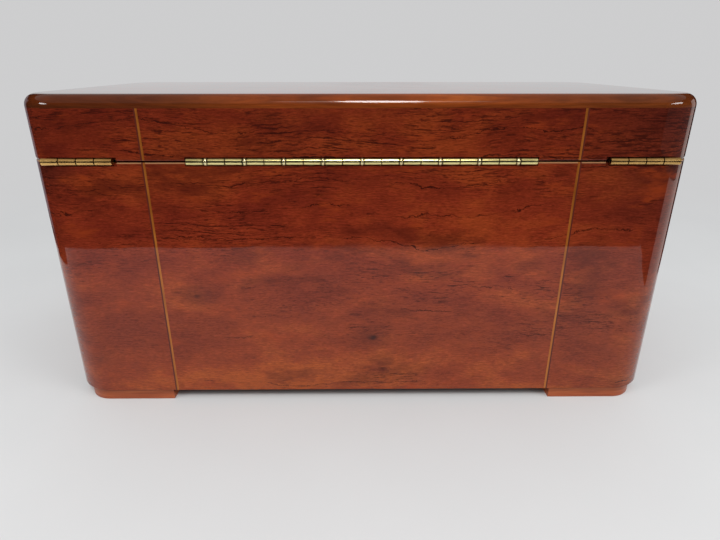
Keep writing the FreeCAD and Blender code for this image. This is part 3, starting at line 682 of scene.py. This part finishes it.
def wide_sheet(name, height, material):
    reach = FLOOR_REACH
    corners = [(-reach, -reach, height), (reach, -reach, height), (reach, reach, height),
               (-reach, reach, height)]
    return stage_mesh(name, corners, [(0, 1, 2, 3)], material)


def table_arc():
    """The table's round corner, from the back edge to the side."""
    centre_across, centre_along = TABLE_ARC_CENTRE
    for step in range(TABLE_ARC_STEPS + 1):
        angle = TABLE_ARC_START + (TABLE_ARC_STOP - TABLE_ARC_START) * step / TABLE_ARC_STEPS
        yield (centre_across + TABLE_ARC_RADIUS * math.cos(angle),
               centre_along + TABLE_ARC_RADIUS * math.sin(angle))


def table_sheet():
    """The table that reflections see, with one round corner."""
    outline = [(TABLE_LEFT_EDGE, TABLE_FRONT_EDGE), (TABLE_LEFT_EDGE, TABLE_BACK_EDGE), *table_arc(),
               (TABLE_RIGHT_EDGE, TABLE_SHOULDER), (TABLE_RIGHT_EDGE, TABLE_FRONT_EDGE)]
    corners = [(across, along, -TABLE_DROP) for across, along in reversed(outline)]
    face = tuple(range(len(corners)))
    return stage_mesh("table", corners, [face], plain_material("table_top", FLOOR_COLOUR))


def only_in_reflections(thing):
    thing.visible_camera = False
    thing.visible_diffuse = False
    thing.visible_shadow = False


def dome_faces(wanted):
    """Corners and faces of the dome's patches that pass a test of their turn and their two heights."""
    corners = []
    faces = []
    heights = [ROOM_LOW + (ROOM_HIGH - ROOM_LOW) * step / ROOM_STEPS for step in range(ROOM_STEPS + 1)]
    for height in heights:
        level = ROOM_RADIUS * math.cos(height)
        for turn in range(ROOM_TURNS):
            angle = 2 * math.pi * turn / ROOM_TURNS
            corners.append((level * math.sin(angle), level * math.cos(angle),
                            LID_TOP + ROOM_RADIUS * math.sin(height)))
    for step in range(ROOM_STEPS):
        for turn in range(ROOM_TURNS):
            following = (turn + 1) % ROOM_TURNS
            if wanted(2 * math.pi * (turn + 0.5) / ROOM_TURNS, heights[step], heights[step + 1]):
                faces.append((step * ROOM_TURNS + turn, step * ROOM_TURNS + following,
                              (step + 1) * ROOM_TURNS + following, (step + 1) * ROOM_TURNS + turn))
    return corners, faces


def room_wall(turn, low, high):
    """The dark wall. It is open low down beyond the far side of the box."""
    beyond_box = abs(turn - math.pi) < OPENING_HALF_TURN and high < OPENING_HIGH
    return low < CEILING_START and not beyond_box


def room_ceiling(turn, low, high):
    return low >= CEILING_START


def room():
    """A dark room with a dim ceiling, seen in reflections only."""
    corners, faces = dome_faces(room_wall)
    only_in_reflections(stage_mesh("room_wall", corners, faces, plain_material("room_wall", DARK)))
    corners, faces = dome_faces(room_ceiling)
    ceiling = glowing_material("room_ceiling", rgb(1.0, 0.98, 0.93), CEILING_STRENGTH)
    only_in_reflections(stage_mesh("room_ceiling", corners, faces, ceiling))


def upright_sheet(name, start, stop, low, high, material):
    corners = [(*start, low), (*stop, low), (*stop, high), (*start, high)]
    only_in_reflections(stage_mesh(name, corners, [(0, 1, 2, 3)], material))


def reflected_sheets():
    """Glowing sheets beside the box and beyond it, seen in reflections only."""
    pane = glowing_material("window_pane", rgb(1.0, 0.87, 0.82), 0.92)
    dim_pane = glowing_material("dim_pane", rgb(0.86, 0.80, 0.90), 0.36)
    haze = glowing_material("room_haze", rgb(0.90, 0.80, 0.80), 0.16)
    backdrop = glowing_material("lit_backdrop", BACKDROP, 0.66)
    meeting = (SHEET_LINE, SHEETS_MEET)
    upright_sheet("left_pane", (0.48, -0.06), (0.53, -0.36), 0.0, PANE_TOP, dim_pane)
    upright_sheet("right_pane", meeting, (-0.50, -0.16), -0.3, PANE_TOP, pane)
    upright_sheet("right_card", (SHEET_LINE, 0.19), meeting, -0.12, CARD_TOP, pane)
    upright_sheet("right_haze", (SHEET_LINE, 0.60), meeting, CARD_TOP, 0.2, haze)
    upright_sheet("backdrop", (-1.0, TABLE_FRONT_EDGE), (1.0, TABLE_FRONT_EDGE), -0.1, 0.9, backdrop)


def surroundings():
    """A pale floor for the camera. Reflections see a table that ends, and a darker room beyond."""
    floor = wide_sheet("floor", 0.0, floor_material())
    floor.visible_diffuse = False
    floor.visible_glossy = False
    floor.visible_shadow = False
    table = table_sheet()
    table.visible_camera = False
    ground = wide_sheet("ground", -2 * TABLE_DROP, plain_material("ground", GROUND_COLOUR))
    ground.visible_camera = False
    ground.visible_glossy = False
    room()
    reflected_sheets()


# Lamps

LAMP_REACH = 1.5
LAMP_TARGET = Vector((0.0, BACK_FACE, LID_TOP))

# Name, turn and rise in degrees, width, height, watts
LAMPS = [
    ("ceiling_lamp", -4.6, 49.0, 0.28, 0.46, 9.2),
    ("ceiling_glow", -4.6, 49.0, 0.72, 0.26, 1.2),
    ("left_lamp", 62.0, 21.0, 0.50, 0.20, 4.0),
    ("right_lamp", -60.0, 21.0, 0.70, 0.20, 5.0),
]


def soft_lamp(name, turn, rise, width, height, power):
    """A lamp that aims at the lid's rear edge. Its turn is from straight behind the camera."""
    light = bpy.data.lights.new(name, "AREA")
    light.shape = "ELLIPSE"
    light.size = width
    light.size_y = height
    light.energy = power
    outwards = Vector((math.cos(rise) * math.sin(turn), math.cos(rise) * math.cos(turn), math.sin(rise)))
    lamp = bpy.data.objects.new(name, light)
    lamp.location = LAMP_TARGET + LAMP_REACH * outwards
    lamp.rotation_euler = (-outwards).to_track_quat("-Z", "Y").to_euler()
    lamp.visible_camera = False
    bpy.context.scene.collection.objects.link(lamp)


def lighting():
    world = bpy.data.worlds.new("studio")
    world.use_nodes = True
    background = world.node_tree.nodes["Background"]
    background.inputs["Color"].default_value = BACKDROP
    background.inputs["Strength"].default_value = BACKDROP_STRENGTH
    bpy.context.scene.world = world
    for name, turn, rise, width, height, power in LAMPS:
        soft_lamp(name, math.radians(turn), math.radians(rise), width, height, power)


CAMERA_PLACE = (0.00335, BACK_FACE + 0.2740, 0.1956)
CAMERA_PITCH = 0.3785
CAMERA_YAW = 0.0081
CAMERA_LENS = 26.07
SENSOR_WIDTH = 36.0
CLIP_START = 0.01
CLIP_END = 60.0


def camera():
    data = bpy.data.cameras.new("camera")
    data.lens = CAMERA_LENS
    data.sensor_width = SENSOR_WIDTH
    data.clip_start = CLIP_START
    data.clip_end = CLIP_END
    thing = bpy.data.objects.new("camera", data)
    thing.location = CAMERA_PLACE
    looking = Vector((-math.sin(CAMERA_YAW) * math.cos(CAMERA_PITCH),
                      -math.cos(CAMERA_YAW) * math.cos(CAMERA_PITCH), -math.sin(CAMERA_PITCH)))
    thing.rotation_euler = looking.to_track_quat("-Z", "Y").to_euler()
    bpy.context.scene.collection.objects.link(thing)
    bpy.context.scene.camera = thing
    bpy.context.scene.view_settings.view_transform = "Standard"


surroundings()
lighting()
camera()
